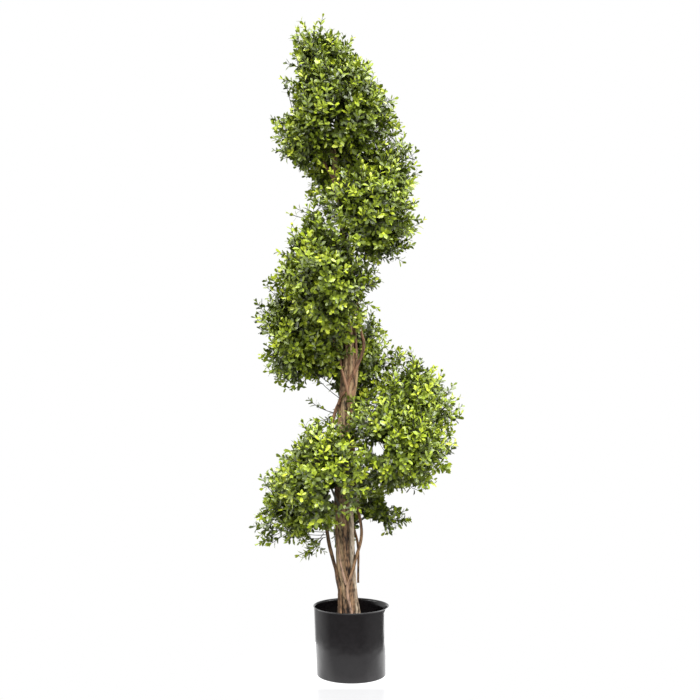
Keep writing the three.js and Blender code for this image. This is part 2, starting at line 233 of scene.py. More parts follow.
# Bare wires and stray sprays that stand clear of the crown: where each starts, where it ends, its pairs of
# leaves.
STRAYS = np.array([
    # left of the upper bare stretch
    [-24, -4, 594, -84, -6, 649, 3], [-24, 10, 612, -86, 8, 658, 4], [-30, 10, 612, -50, 8, 630, 3],
    [-60, -4, 626, -75, -4, 629, 2], [-36, 0, 563, -90, 0, 590, 4], [-55, 0, 570, -66, 0, 578, 2],
    [-42, 0, 553, -84, 0, 548, 5],
    # under the lowest masses, at the left
    [-56, 20, 303, -100, 24, 306, 0], [-56, 22, 297, -102, 26, 299, 0], [-56, 18, 292, -98, 20, 291, 0],
    [-60, 10, 302, -88, 6, 280, 3], [-62, 8, 292, -99, 6, 257, 3], [-76, 8, 284, -60, 4, 264, 2],
    [-172, 10, 322, -199, 6, 297, 4], [-160, 20, 312, -186, 16, 288, 3],
    # under them, at the right
    [84, 0, 345, 116, 0, 352, 4], [84, 0, 336, 114, 0, 331, 4], [70, 0, 326, 88, 0, 303, 4],
    # along the upper left edge
    [-118, 0, 1276, -148, 0, 1284, 3], [-116, 0, 1262, -138, 0, 1264, 3],
    [-105, 0, 1360, -129, 0, 1374, 3], [-140, 0, 1188, -170, 0, 1199, 4],
    [-140, 0, 1148, -169, 0, 1156, 3], [-130, 0, 1124, -147, 0, 1112, 3], [-105, 0, 984, -133, 0, 993, 4],
    # at the upper right, between two turns
    [58, 10, 1158, 84, 10, 1184, 5], [68, 0, 1148, 98, 0, 1170, 5], [48, 0, 1168, 74, 0, 1194, 4],
    # at the lowest left corner
    [-170, 0, 330, -205, 0, 322, 4], [-165, -10, 306, -199, -10, 283, 4], [-150, 0, 298, -181, 0, 279, 4],
    # over the foot of the upper bare stretch
    [40, -36, 596, 12, -44, 588, 5], [38, -44, 588, 8, -52, 578, 5], [38, -44, 572, 6, -52, 562, 5],
    [36, -44, 556, 4, -52, 546, 5], [34, -44, 540, 0, -54, 530, 5], [28, -44, 526, -10, -54, 516, 5],
    [42, -36, 580, 14, -46, 570, 5], [40, -36, 564, 10, -46, 552, 5], [38, -36, 548, 4, -46, 538, 5],
    [34, -36, 532, -4, -46, 522, 5], [28, -36, 516, -18, -46, 512, 5], [14, -40, 520, -22, -48, 502, 5],
    [20, -42, 536, -18, -52, 532, 5], [16, -40, 528, -26, -50, 524, 5], [12, -44, 520, -30, -52, 516, 5],
    [22, -40, 514, -20, -50, 508, 5], [8, -40, 506, -32, -50, 502, 5], [-4, -38, 540, -30, -46, 530, 5],
    [-58, -20, 500, -30, -40, 526, 5], [-60, -20, 488, -34, -40, 512, 5], [10, -40, 500, -30, -50, 492, 5],
    # behind them
    [40, 30, 520, 8, 24, 510, 5], [40, 30, 500, 8, 24, 490, 5], [42, 30, 480, 8, 24, 470, 5],
    [44, 30, 462, 10, 24, 456, 5],
    # at the middle left, between two turns
    [-50, 0, 1006, -78, 0, 1024, 5], [-22, 0, 1002, -58, 0, 1014, 5], [-20, 4, 990, -54, 4, 1000, 5],
    [-64, 0, 984, -46, 0, 1008, 5], [-84, 0, 990, -118, 0, 1004, 5], [-34, -10, 980, -44, -12, 1002, 5],
    # at the upper right again
    [60, 30, 1130, 78, 36, 1150, 5], [70, 30, 1120, 92, 36, 1144, 5], [50, 30, 1136, 66, 36, 1160, 5],
    [80, 20, 1130, 84, 20, 1162, 5], [66, 10, 1126, 72, 10, 1154, 5],
    # over the top of the upper bare stretch
    [-40, -30, 724, -24, -42, 712, 5], [-38, -30, 704, -20, -42, 694, 5], [-2, -36, 736, -16, -42, 722, 4],
    # under the lowest masses again
    [-84, -6, 276, -112, -8, 258, 4], [-66, -8, 290, -76, -8, 262, 5], [-62, -6, 294, -93, -8, 263, 4],
    [-68, -10, 284, -105, -12, 252, 4],
])

# Where the crown is open, seen from the front: x, z, half width, half height and the share of leaves gone.
OPENINGS = [MM, MM, MM, MM, 1] * np.array([
    [-66, 592, 44, 38, 1.0], [-51, 633, 22, 10, 1.0], [44, 318, 26, 18, 1.0], [32, 288, 16, 14, 1.0],
    [20, 320, 12, 24, 1.0], [80, 370, 15, 10, 1.0], [60, 484, 14, 17, 0.92], [-37, 387, 17, 22, 1.0],
    [-70, 303, 25, 11, 1.0],
])

# ---- Light and camera ----
# The sheet under the pot: its light grows from front to back, given as two places and the strength at each.
SHEET = {"radius": 0.29, "sides": 180, "light": (-0.12, 0.02, 0.66, 1.9)}
GLOW = 0.30  # the studio's own light, all round
# Lit walls round it: which way each lies, the cosines of the angle to it where its light begins and where
# it is full, and how strong it is.
GLOWS = [
    ((0.46, 0.86, -0.2), 0.95, 0.972, 4.0),
    ((0, 1, 0.1), 0.75, 0.95, 1.1),
    ((-0.93, 0.37, 0), 0.7, 1.0, 0.6),
    ((0.97, -0.2, 0), 0.75, 1.0, 0.25),
    ((0, -0.2, 0.98), 0.05, 0.5, 0.6),
]
SUN = {"strength": 6.6, "wide": 52 * DEG, "turned": (30 * DEG, 8 * DEG, 0)}  # one broad soft light overhead
# A soft box at each side: its place, width and power.
BOXES = {"box_right": ((2.2, -0.9, 1.5), 1.2, 24), "box_left": ((-2.2, -0.6, 1.5), 1.2, 20)}
BOX_AIM = np.array([0, 0, 0.7])
EYE = np.array([-0.003, -2.52, 0.699])
LENS = 60.07
SENSOR = 36


# ---- Numbers and curves ----
def smooth(rows):
    """A smooth curve through rows of place and values: between two rows a cubic whose slope at each end is
    that of the chord across the neighbouring rows, with no curvature at the first and last row."""
    places, values = rows[:, 0], rows[:, 1:]
    last = len(places) - 2

    def at(place):
        place = np.clip(np.asarray(place, float), places[0], places[-1])
        i = np.clip(np.searchsorted(places, place, side="right") - 1, 0, last)
        before = np.where(i == 0, 1, i - 1)
        after = np.where(i == last, last, i + 2)
        start, stop = places[i], places[i + 1]
        half = (stop - start) / 2
        back = (half / (start - places[before]))[..., None]
        ahead = (half / (places[after] - stop))[..., None]
        p = ((place - start) / (stop - start))[..., None]
        weights = (
            back * (-(p**3) + 2 * p**2 - p),
            (1 + back) * p**3 + (-1.5 - 2 * back) * p**2 + (-0.5 + back) * p + 1,
            (-1 - ahead) * p**3 + (1.5 + ahead) * p**2 + 0.5 * p,
            ahead * (p**3 - p**2),
        )
        return sum(w * values[j] for w, j in zip(weights, (before, i, i + 1, after)))

    return at


def fade(values, start, full):
    """0 up to the start, 1 from the full place on, and a straight line between them."""
    return np.clip((values - start) / (full - start), 0, 1)


def lattice_noise(u, v, columns, seed):
    """Smooth noise from -1 to 1: seeded numbers at whole u and v, eased between by 3t^2 - 2t^3 each way.
    It repeats every `columns` along u and every 256 along v."""
    table = np.random.default_rng(seed).uniform(-1, 1, (256, columns))
    column, row = np.floor(u).astype(int), np.floor(v).astype(int)
    s, t = u - column, v - row
    s, t = s * s * (3 - 2 * s), t * t * (3 - 2 * t)
    near = table[row % 256, column % columns] * (1 - s) + table[row % 256, (column + 1) % columns] * s
    row = row + 1
    far = table[row % 256, column % columns] * (1 - s) + table[row % 256, (column + 1) % columns] * s
    return near * (1 - t) + far * t


def waves(points, length, seed):
    """Gentle noise about 0: the mean of eight sines of about the given wavelength, each along its own seeded
    direction and with its own start, times two."""
    draw = np.random.default_rng(seed)
    ways = unit(draw.normal(0, 1, (8, 3))) * TURN / length * draw.uniform(0.7, 1.4, (8, 1))
    return 2 * np.sin(points @ ways.T + draw.uniform(0, TURN, 8)).mean(-1)


def unit(vectors):
    """Vectors divided by their lengths."""
    return vectors / np.maximum(np.linalg.norm(vectors, axis=-1, keepdims=True), 1e-12)


def bezier(start, bend, stop, u):
    """Points of the parabola (1-u)^2 start + 2u(1-u) bend + u^2 stop, for arrays of ends and of u."""
    u = u[..., None]
    return (1 - u) ** 2 * start + 2 * u * (1 - u) * bend + u**2 * stop


def sphere_directions(count):
    """Evenly spread unit vectors: heights at equal steps, each a golden angle further round than the last."""
    k = np.arange(count) + 0.5
    z = 1 - 2 * k / count
    turn = k * math.pi * (3 - math.sqrt(5))
    flat = np.sqrt(1 - z * z)
    return np.stack([flat * np.cos(turn), flat * np.sin(turn), z], -1)


def linear(colour):
    """An sRGB hex colour in linear light, with alpha 1: c/12.92 for a dark channel, else
    ((c+0.055)/1.055)^2.4."""
    c = np.array([int(colour[i : i + 2], 16) for i in (1, 3, 5)]) / 255
    bright = ((c + 0.055) / 1.055) ** 2.4
    return (*np.where(c <= 0.04045, c / 12.92, bright).tolist(), 1.0)


# ---- Meshes ----
def skins(rings, starts, stops):
    """Points and triangles of closed skins, from rings of shape (skins, rings, sides, 3). Quads join each
    ring to the next and close the seam, and a fan at each end meets at a pole. Rings that turn
    anticlockwise about the direction of travel give outward faces."""
    count, length, sides = rings.shape[:3]
    points = np.concatenate([rings.reshape(count, -1, 3), starts[:, None], stops[:, None]], 1)
    i, j = np.meshgrid(np.arange(length - 1), np.arange(sides), indexing="ij")
    a, b = i * sides + j, i * sides + (j + 1) % sides
    side = np.stack([a, b, b + sides, a, b + sides, a + sides], -1).reshape(-1, 3)
    j = np.arange(sides)
    following = (j + 1) % sides
    pole = np.full(sides, length * sides)
    first = np.stack([following, j, pole], -1)
    top = (length - 1) * sides
    final = np.stack([top + j, top + following, pole + 1], -1)
    one = np.concatenate([side, first, final])
    offsets = np.arange(count)[:, None, None] * points.shape[1]
    return points.reshape(-1, 3), (one + offsets).reshape(-1, 3)


def tubes(paths, ends, sides):
    """Closed round tubes along paths (tubes, points, 3): each ring is radius x (cos a, sin a) in the plane
    across the path there, turned so that it never spins along the tube. The radius runs from one end's to
    the other's in even steps."""
    along = unit(np.gradient(paths, axis=1))
    mean = along.mean(1, keepdims=True)
    reference = np.where(np.abs(mean[..., 2:]) < 0.8, [0.0, 0.0, 1.0], [1.0, 0.0, 0.0])
    across = unit(np.cross(reference, along))
    over = np.cross(along, across)
    angle = np.arange(sides) / sides * TURN
    ring = across[:, :, None] * np.cos(angle)[:, None] + over[:, :, None] * np.sin(angle)[:, None]
    rings = paths[:, :, None] + ring * np.linspace(*ends, paths.shape[1])[:, None, None]
    return skins(rings, paths[:, 0], paths[:, -1])


def mesh_piece(name, points, triangles, materials, indices=None, attributes=None):
    """A mesh object of an array of points and an array of triangles, with smooth faces, a material number
    for each face, and named numbers on its points."""
    mesh = bpy.data.meshes.new(name)
    mesh.vertices.add(len(points))
    mesh.vertices.foreach_set("co", points.astype(np.float32).ravel())
    mesh.loops.add(triangles.size)
    mesh.loops.foreach_set("vertex_index", triangles.astype(np.int32).ravel())
    mesh.polygons.add(len(triangles))
    mesh.polygons.foreach_set("loop_start", np.arange(0, triangles.size, 3, dtype=np.int32))
    mesh.polygons.foreach_set("use_smooth", np.ones(len(triangles), bool))
    for material in materials:
        mesh.materials.append(material)
    if indices is not None:
        mesh.polygons.foreach_set("material_index", indices.astype(np.int32))
    for key, values in (attributes or {}).items():
        layer = mesh.attributes.new(key, "FLOAT", "POINT")
        layer.data.foreach_set("value", values.astype(np.float32).ravel())
    mesh.update(calc_edges=True)
    piece = bpy.data.objects.new(name, mesh)
    bpy.context.scene.collection.objects.link(piece)
    return piece


def place(piece, slot, *nodes):
    """Says that a piece rides on the plant and stands for the CAD nodes, which it hides. The slot is not
    used.
    """
    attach(piece, "root")
    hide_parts(*nodes)


def closed_piece(name, rings, poles, material, slot, replaced, **fields):
    """A piece of one closed skin over its rings, with fields on their points, and 0.5 at its two poles."""
    attributes = {key: np.append(field.ravel(), [0.5, 0.5]) for key, field in fields.items()}
    skin = skins(rings[None], poles[:1], poles[1:])
    place(mesh_piece(name, *skin, [material], attributes=attributes), slot, replaced)


# ---- Materials ----
def node(tree, kind, inputs=None, stops=None, **settings):
    """Adds a node with its settings. Each input is a value, or the output that feeds it. Stops are a
    colour ramp's places and colours."""
    new = tree.nodes.new(kind)
    for key, value in settings.items():
        setattr(new, key, value)
    for key, value in (inputs or {}).items():
        if isinstance(value, bpy.types.NodeSocket):
            tree.links.new(value, new.inputs[key])
        else:
            new.inputs[key].default_value = value
    if stops:
        ramp = new.color_ramp.elements
        for position, colour in stops[1:-1]:
            ramp.new(position).color = linear(colour)
        ramp[0].position, ramp[0].color = stops[0][0], linear(stops[0][1])
        ramp[-1].position, ramp[-1].color = stops[-1][0], linear(stops[-1][1])
    return new


def surface(name, colour, roughness, ior=1.5, **sockets):
    """A material with one Principled surface of plain values. Returns it, its tree and its shader."""
    material = bpy.data.materials.new(name)
    material.use_nodes = True
    tree = material.node_tree
    shader = tree.nodes["Principled BSDF"]
    values = {"Base Color": linear(colour), "Roughness": roughness, "IOR": ior, **sockets}
    for key, value in values.items():
        shader.inputs[key].default_value = value
    return material, tree, shader


def bark(name, stops, pale, ruddy, grain, depth):
    """Dry bark or peeled wood, as cut: a rough matt fibre. The ramp runs from its fissures to its ridges
    along the relief field, which also carries painted shade, so shaded places come out darker; a paler colour
    shows where the strands are peeled and a redder one where the bark is young. The grain is fine fibre along
    the stem, `grain` metres apart."""
    material, tree, shader = surface(name, stops[-1][1], 0.82, 1.5)
    where = node(tree, "ShaderNodeTexCoord").outputs["Object"]
    relief, peeled, young = (
        node(tree, "ShaderNodeAttribute", attribute_name=key).outputs["Fac"]
        for key in ("relief", "peeled", "young")
    )
    stretched = node(tree, "ShaderNodeMapping", {"Vector": where, "Scale": (1, 1, 0.3)}).outputs[0]
    fibre, blotch = (
        node(tree, "ShaderNodeTexNoise", {"Vector": way, "Scale": 1 / size, "Detail": detail}).outputs["Fac"]
        for way, size, detail in ((stretched, grain, 5.0), (where, 11 * MM, 4.0))
    )
    height = node(tree, "ShaderNodeMath", {0: relief, 1: 0.8, 2: -0.3}, operation="MULTIPLY_ADD").outputs[0]
    for noise, part in ((fibre, 0.62), (blotch, 0.3)):
        spread = node(tree, "ShaderNodeMapRange", {0: noise, 1: 0.36, 2: 0.64, 4: part}).outputs[0]
        height = node(tree, "ShaderNodeMath", {0: height, 1: spread}, operation="ADD").outputs[0]
    colour = node(tree, "ShaderNodeValToRGB", {"Fac": height}, stops=stops).outputs["Color"]
    shade = node(tree, "ShaderNodeMapRange", {0: height, 1: 0.1, 2: 0.85, 3: 0.08, 4: 1.0}).outputs[0]
    for share, tint in ((young, ruddy), (peeled, pale)):
        sockets = {"Factor": 1.0, 6: linear(tint), 7: shade}
        shaded = node(tree, "ShaderNodeMix", sockets, data_type="RGBA", blend_type="MULTIPLY").outputs[2]
        sockets = {"Factor": share, 6: colour, 7: shaded}
        colour = node(tree, "ShaderNodeMix", sockets, data_type="RGBA").outputs[2]
    tree.links.new(colour, shader.inputs["Base Color"])
    bump = node(tree, "ShaderNodeBump", {"Height": fibre, "Strength": 0.8, "Distance": depth})
    tree.links.new(bump.outputs[0], shader.inputs["Normal"])
    return material


def moulded_polypropylene():
    """Black injection-moulded polypropylene, as nursery pots are: a satin gloss from the polished mould,
    with faint scuffs that dull it and a skin that waves a little, so that its reflections are soft and not
    straight."""
    material, tree, shader = surface("moulded_polypropylene", "#0e0c0d", 0.2, 1.49)
    where = node(tree, "ShaderNodeTexCoord").outputs["Object"]
    scuffs = {"Vector": where, "Scale": 1 / (9 * MM), "Detail": 8.0, "Roughness": 0.65}
    scuff = node(tree, "ShaderNodeTexNoise", scuffs).outputs["Fac"]
    rough = node(tree, "ShaderNodeMapRange", {0: scuff, 1: 0.3, 2: 0.75, 3: 0.14, 4: 0.24}).outputs[0]
    tree.links.new(rough, shader.inputs["Roughness"])
    tone = node(tree, "ShaderNodeValToRGB", {"Fac": scuff}, stops=[(0.3, "#0c0a0b"), (0.8, "#151214")])
    tree.links.new(tone.outputs["Color"], shader.inputs["Base Color"])
    waving = {"Vector": where, "Scale": 1 / (35 * MM), "Detail": 1.0}
    wave = node(tree, "ShaderNodeTexNoise", waving).outputs["Fac"]
    bump = node(tree, "ShaderNodeBump", {"Height": wave, "Strength": 1.0, "Distance": 0.9 * MM})
    tree.links.new(bump.outputs[0], shader.inputs["Normal"])
    return material


def cement_mortar():
    """Dark cement mortar, trowelled and left: matt and sandy, with paler grains and dusty hollows."""
    material, tree, shader = surface("cement_mortar", "#3a3632", 0.95, 1.5)
    where = node(tree, "ShaderNodeTexCoord").outputs["Object"]
    grains = {"Vector": where, "Scale": 1 / (3 * MM), "Detail": 5.0}
    sand = node(tree, "ShaderNodeTexNoise", grains).outputs["Fac"]
    colours = [(0.3, "#1d1b19"), (0.55, "#37332f"), (0.8, "#5d5850")]
    tone = node(tree, "ShaderNodeValToRGB", {"Fac": sand}, stops=colours)
    tree.links.new(tone.outputs["Color"], shader.inputs["Base Color"])
    bump = node(tree, "ShaderNodeBump", {"Height": sand, "Strength": 0.8, "Distance": 1.5 * MM})
    tree.links.new(bump.outputs[0], shader.inputs["Normal"])
    return material


# Polyethylene leaves, injection moulded: a soft plastic sheen over a solid green.
# The greens run from the yellow lime of new tips to dark olive; deeper twigs take darker greens, partly the
# plant's own and partly painted shade of the crown's inside.
LEAF_GREENS = {
    "leaf_yellow_lime": "#b9c534",
    "leaf_lime": "#a9b72b",
    "leaf_fresh_green": "#91a322",
    "leaf_mid_green": "#73841b",
    "leaf_deep_green": "#57670f",
    "leaf_olive_green": "#45520e",
}


def moulded_leaf(name, colour):
    """One green of moulded polyethylene: satin, so that each leaf catches a soft white sheen."""
    return surface(name, colour, 0.38, 1.51, **{"Specular IOR Level": 0.8})[0]


def coated_wire():
    """Iron wire in a dark green-brown polyethylene coat: a dull gloss on a thin round."""
    return surface("coated_wire", "#38352a", 0.5, 1.51)[0]


# ---- Trunk and climbers ----
stem_line = smooth(STEM_LINE)


def stem_middle(height):
    """The stem's middle line at each height."""
    return np.concatenate([stem_line(height)[..., :2], height[..., None]], -1)


def stem_radius(height, angle):
    """The thickness at the height, and a root flare that fades with height over the mortar, all times
    1 + depth sin(count x angle + turn x height)."""
    over = np.maximum(height - MORTAR["top"], 0)
    flare = FLARE["most"] * np.exp(-over / FLARE["height"])
    flute = 1 + FLUTES["depth"] * np.sin(FLUTES["count"] * angle + FLUTES["turn"] * height)
    return (stem_line(height)[..., 2] + flare) * flute


def beside_stem(height, angle, out):
    """The stem's middle at a height, moved `out` along the level direction (cos angle, sin angle)."""
    level = np.stack([out * np.cos(angle), out * np.sin(angle), np.zeros_like(out)], -1)
    return stem_middle(height) + level


def strands(height, angle, around, length, seed):
    """Ridged noise from 0 in a fissure to 1 on a strand: the size of lattice noise whose cells lie along
    the stem, `around` of them round it, leaning and wandering a little with height."""
    wander = 0.012 * np.sin(height / (31 * MM) + seed) + 0.02 * np.sin(height / (67 * MM) + 2 * seed)
    noise = lattice_noise((angle / TURN + 0.35 * height + wander) * around, height / length, around, seed)
    return np.clip(np.abs(noise) * 2.2, 0, 1)


def knots(height, angle, thick):
    """Old knots: at seeded places, the sum of exp(-(distance / size)^2), where the distance is along the
    bark."""
    draw = np.random.default_rng(KNOTS["seed"])
    lowest, highest = MORTAR["top"], STEM_TOP - 0.3
    total = np.zeros(height.shape)
    for _ in range(KNOTS["count"]):
        middle, facing = draw.uniform(lowest, highest), draw.uniform(0, TURN)
        size = draw.uniform(*KNOTS["radius"])
        off = (angle - facing + math.pi) % TURN - math.pi
        total += np.exp(-(((off * thick) ** 2 + ((height - middle) * 0.6) ** 2) / size**2))
    return total


def trunk(material):
    """The stem's radius as a function of height and angle, less the depth of fissures of three sizes, with
    knots that stand out round a sunken eye. Its fields are the relief, darker in knots and patches and
    in painted shade at the foot, and how far the bark is peeled and how young it is."""
    rows, sides = 560, 144
    height = np.linspace(MORTAR["foot"], STEM_TOP, rows)[:, None] * np.ones(sides)
    angle = np.ones((rows, 1)) * np.arange(sides) / sides * TURN
    relief = sum(share * strands(height, angle, around, length, around) for around, length, share in FISSURES)
    thick = stem_radius(height, angle)
    swollen = knots(height, angle, thick)
    deep = np.minimum(FISSURE_DEPTH["share"] * thick, FISSURE_DEPTH["most"])
    knot = KNOTS["bulge"] * np.minimum(swollen, 1) - KNOTS["eye"] * np.clip(swollen - 0.6, 0, 1)
    rings = beside_stem(height, angle, thick + deep * (relief - 0.7) + knot)

    u = (angle / TURN + BANDS["lean"] * height) * BANDS["around"]
    band = lattice_noise(u, height / BANDS["length"], BANDS["around"], BANDS["seed"])
    # Painted shade at the foot, by the pot's rim: it holds back the pale of peeled strands and, through
    # shadow below, darkens the relief field.
    foot = fade(height, *FOOT_SHADE_PATCH)
    low = fade(height, *LOW_PATCH) * fade(height, *LOW_PATCH_START)
    pale = low * np.clip(np.cos(angle - PALE_SIDE) + 0.1, 0, 1)
    dark = low * np.exp(-(((angle - DARK_SIDE["facing"]) / DARK_SIDE["spread"]) ** 2))
    fresh = np.exp(-(((height - YOUNG_BARK["height"]) / YOUNG_BARK["spread"]) ** 2))
    peeled = np.clip(0.22 + 0.55 * band + 0.45 * pale - 0.6 * dark - 0.7 * foot, 0, 1)
    young = np.clip(0.7 * fresh + 0.25 * band, 0, 1)
    # The shadow adds the foot's painted shade, darkest to one side, to the dark side. Both are taken off the
    # relief field, so the bark's colour darkens.
    shadow = 0.22 * dark + 0.35 * foot * (1 + np.cos(angle - FOOT_SHADE_SIDE))
    relief = np.clip(relief - 0.5 * np.clip(swollen - 0.45, 0, 1) - shadow, 0, 1)
    ends = stem_middle(np.array([MORTAR["foot"], STEM_TOP]))
    fields = {"relief": relief, "peeled": peeled, "young": young}
    closed_piece("trunk_bark", rings, ends, material, "trunk_bark", "trunk", **fields)


def climber(name, material, slot, seed, sides=20):
    """A profile carried up the climber's way: its radius tapers from foot to top, swells at knots and is
    ridged by lattice noise round and along it."""
    (foot, top), way = CLIMBERS[name]
    way = WAY * np.array(way)
    way_at = smooth(way)
    height = np.arange(way[0, 0], way[-1, 0], CLIMBER_STEP)
    s = (height - height[0]) / (height[-1] - height[0])
    radius = (foot + (top - foot) * s) / 2 * MM
    turned, lift = way_at(height).T
    path = beside_stem(height, turned, stem_radius(height, turned) + radius + GAP + lift)
    along = unit(np.gradient(path, axis=0))
    across = unit(np.cross([0.0, 1.0, 0.0], along))
    over = np.cross(along, across)
    angle = np.arange(sides) / sides * TURN
    u = np.ones((len(height), 1)) * angle
    v = height[:, None] * np.ones(sides)
    sizes = enumerate(CLIMBER_STRANDS)
    relief = sum(share * strands(v, u, around, length, seed + i) for i, (around, length, share) in sizes)
    knot = 0.14 * np.clip(lattice_noise(np.zeros_like(v), v / (30 * MM), 2, seed + 2), 0, 1)
    out = radius[:, None] * (0.9 + 0.14 * relief + knot)
    ring = across[:, None] * np.cos(angle)[:, None] + over[:, None] * np.sin(angle)[:, None]
    rings = path[:, None] + ring * out[..., None]
    streaks = lattice_noise(u / TURN * 4, v / (90 * MM), 4, seed + 3)
    pale = name in PALE_BELOW
    # Below that height: pale wear on the pale climbers, and painted shade that darkens the others.
    wear_and_shade = np.clip((PALE_BELOW.get(name, PAINTED_SHADE_BELOW) - v) / WEAR_AND_SHADE_FADE, 0, 1)
    peeled = np.clip(0.3 * streaks + (0.85 if pale else -0.3) * wear_and_shade, 0, 1)
    relief = relief - (0 if pale else 0.35) * wear_and_shade
    young = np.clip((v - YOUNG_ABOVE) / YOUNG_FADE + 0.3 * streaks, 0, 1)
    fields = {"relief": relief, "peeled": peeled, "young": young}
    closed_piece(name + "_bark", rings, path[[0, -1]], material, slot, name, **fields)


# ---- Pot and mortar ----
def arc(middle, radius, start, stop, steps=7):
    """Points of a circle from angle start to stop, about a middle (r, z)."""
    angle = np.linspace(start, stop, steps)
    return np.stack([middle[0] + radius * np.cos(angle), middle[1] + radius * np.sin(angle)], -1)


def run(start, stop, steps):
    """Evenly spaced points of a straight run, without its ends."""
    share = np.linspace(0, 1, steps + 2)[1:-1, None]
    return np.array(start) * (1 - share) + np.array(stop) * share


def bent_round(profile, sides):
    """A profile of (r, z) carried round Z, then moved as the pot's wall runs: out by 1 + taper x z/height +
    reach/radius x smoothstep(z) x exp(-(angle off the lip / spread)^2), and over to the left with height."""
    angle = np.arange(sides) / sides * TURN
    r = profile[:, :1] * np.ones(sides)
    z = profile[:, 1:] * np.ones(sides)
    off = (angle - LIP["facing"] + math.pi) % TURN - math.pi
    t = np.clip((z - POT["height"] + LIP["deep"]) / LIP["deep"], 0, 1)
    lip = LIP["reach"] / POT["radius"] * t * t * (3 - 2 * t) * np.exp(-((off / LIP["spread"]) ** 2))
    r = r * (1 + POT_TAPER * z / POT["height"] + lip)
    return np.stack([r * np.cos(angle) - POT_LEAN * z / POT["height"], r * np.sin(angle), z], -1)


def pot(material):
    """The wall's profile, from the middle of the underside out, up, over the rim and down to the middle of
    the floor, carried round Z and bent. Its edges are arcs."""
    outer, height, edge = POT["radius"], POT["height"], POT["edge"]
    inner, bend = outer - POT["wall"], height - LIP["deep"]
    rim, bead, under = outer + RIM["out"], RIM["round"], height - RIM["flared"]
    mouth = rim - RIM["wall"]
    share = np.linspace(0, 1, 8)
    flare = np.array([(outer, under), (outer, height - 2 * bead), (rim, height - bead)])
    throat = np.array([(mouth, height - bead), (inner, height - 2 * bead), (inner, under)])
    profile = np.concatenate([
        run((0, 0), (outer - edge, 0), 6),
        arc((outer - edge, edge), edge, -90 * DEG, 0),
        run((outer, edge), (outer, bend), 10),
        run((outer, bend), (outer, under), 12),
        bezier(*flare, share[1:-1]),
        arc((rim - bead, height - bead), bead, 0, 90 * DEG),
        arc((mouth + bead, height - bead), bead, 90 * DEG, 180 * DEG),
        bezier(*throat, share[1:]),
        run((inner, under), (inner, bend), 12)[1:],
        run((inner, bend), (inner, POT["floor"] + edge), 10),
        arc((inner - edge, POT["floor"] + edge), edge, 0, -90 * DEG),
        run((inner - edge, POT["floor"]), (0, POT["floor"]), 6),
    ])
    rings = bent_round(profile, 192)
    poles = np.array([[0, 0, 0], [-POT_LEAN * POT["floor"] / height, 0, POT["floor"]]])
    closed_piece("pot_shell", rings, poles, material, "pot_plastic", "pot")


def mortar(material):
    """A plug from the pot's floor up, whose top is a low crown roughened by lattice noise of two sizes."""
    radius = POT["radius"] - POT["wall"] - GAP
    floor, top = POT["floor"] + GAP, MORTAR["top"]
    profile = np.concatenate([
        run((0, floor), (radius, floor), 3),
        [(radius, floor), (radius, top)],
        run((radius, top), (0, top + MORTAR["crown"]), 40),
    ])
    rings = bent_round(profile, 120)
    x, y = rings[..., 0], rings[..., 1]
    lumps = lattice_noise(x / (14 * MM) + 40, y / (14 * MM) + 40, 128, 21)
    grit = lattice_noise(x / (3.5 * MM) + 80, y / (3.5 * MM) + 80, 256, 22)
    on_top = np.arange(len(profile)) > 4
    rings[..., 2] += on_top[:, None] * (1.4 * MM * lumps + 0.6 * MM * grit)
    poles = np.array([[0, 0, floor], [-POT_LEAN * top / POT["height"], 0, top + MORTAR["crown"]]])
    closed_piece("mortar_fill", rings, poles, material, "mortar", "mortar")


# ---- Foliage masses ----
ribbon_at = smooth(RIBBON)


class Masses:
    """The eighteen lumpy eggs along the ribbon: their middles, directions and half sizes."""

    turned = np.linspace(FIRST_ANGLE, LAST_ANGLE, MASSES)
    height, reach, half_width, half_depth = ribbon_at(turned).T
    step = 5 * DEG
    rise = (ribbon_at(turned + step)[:, 0] - ribbon_at(turned - step)[:, 0]) / (2 * step)
    tilt = np.minimum(np.arctan2(rise, np.maximum(reach, 10 * MM)), MASS["most_tilt"])
    axis = RIBBON_AXIS["foot"] + RIBBON_AXIS["lean"] * (height / HEIGHT) ** 2
    none = np.zeros(MASSES)
    outward = np.stack([np.cos(turned), np.sin(turned), none], -1)
    sideways = np.stack([-np.sin(turned), np.cos(turned), none], -1)
    onward = sideways * np.cos(tilt)[:, None] + np.stack([none, none, np.sin(tilt)], -1)
    axes = np.stack([outward, onward, np.cross(outward, onward)], 1)
    middle = np.stack([axis, none, height], -1) + outward * reach[:, None]
    half = np.stack([half_width, MASS["length"] + MASS["share"] * half_width, half_depth], -1)


def swell(d, index):
    """How far a mass's skin stands out in a direction d: 1 + uneven x (waves that differ from mass to
    mass)."""
    x, y, z = np.moveaxis(d, -1, 0)
    broad = np.sin(5.1 * x + 1.3 * index) * np.sin(4.3 * z + 2.1 * index)
    narrow = 0.7 * np.sin(6.2 * y + 0.9 * index) * np.cos(5 * z - index)
    return 1 + MASS["uneven"] * (broad + narrow)


def depth_in_masses(points):
    """How deep each point lies under each mass's skin, along the line from the mass's middle; below 0
    outside."""
    apart = points[:, None] - Masses.middle
    local = np.einsum("nmk,mak->nma", apart, Masses.axes) / Masses.half
    reach = np.maximum(np.linalg.norm(local, axis=-1), 1e-6)
    skin = swell(local / reach[..., None], np.arange(MASSES))
    return np.linalg.norm(apart, axis=-1) * (skin / reach - 1)


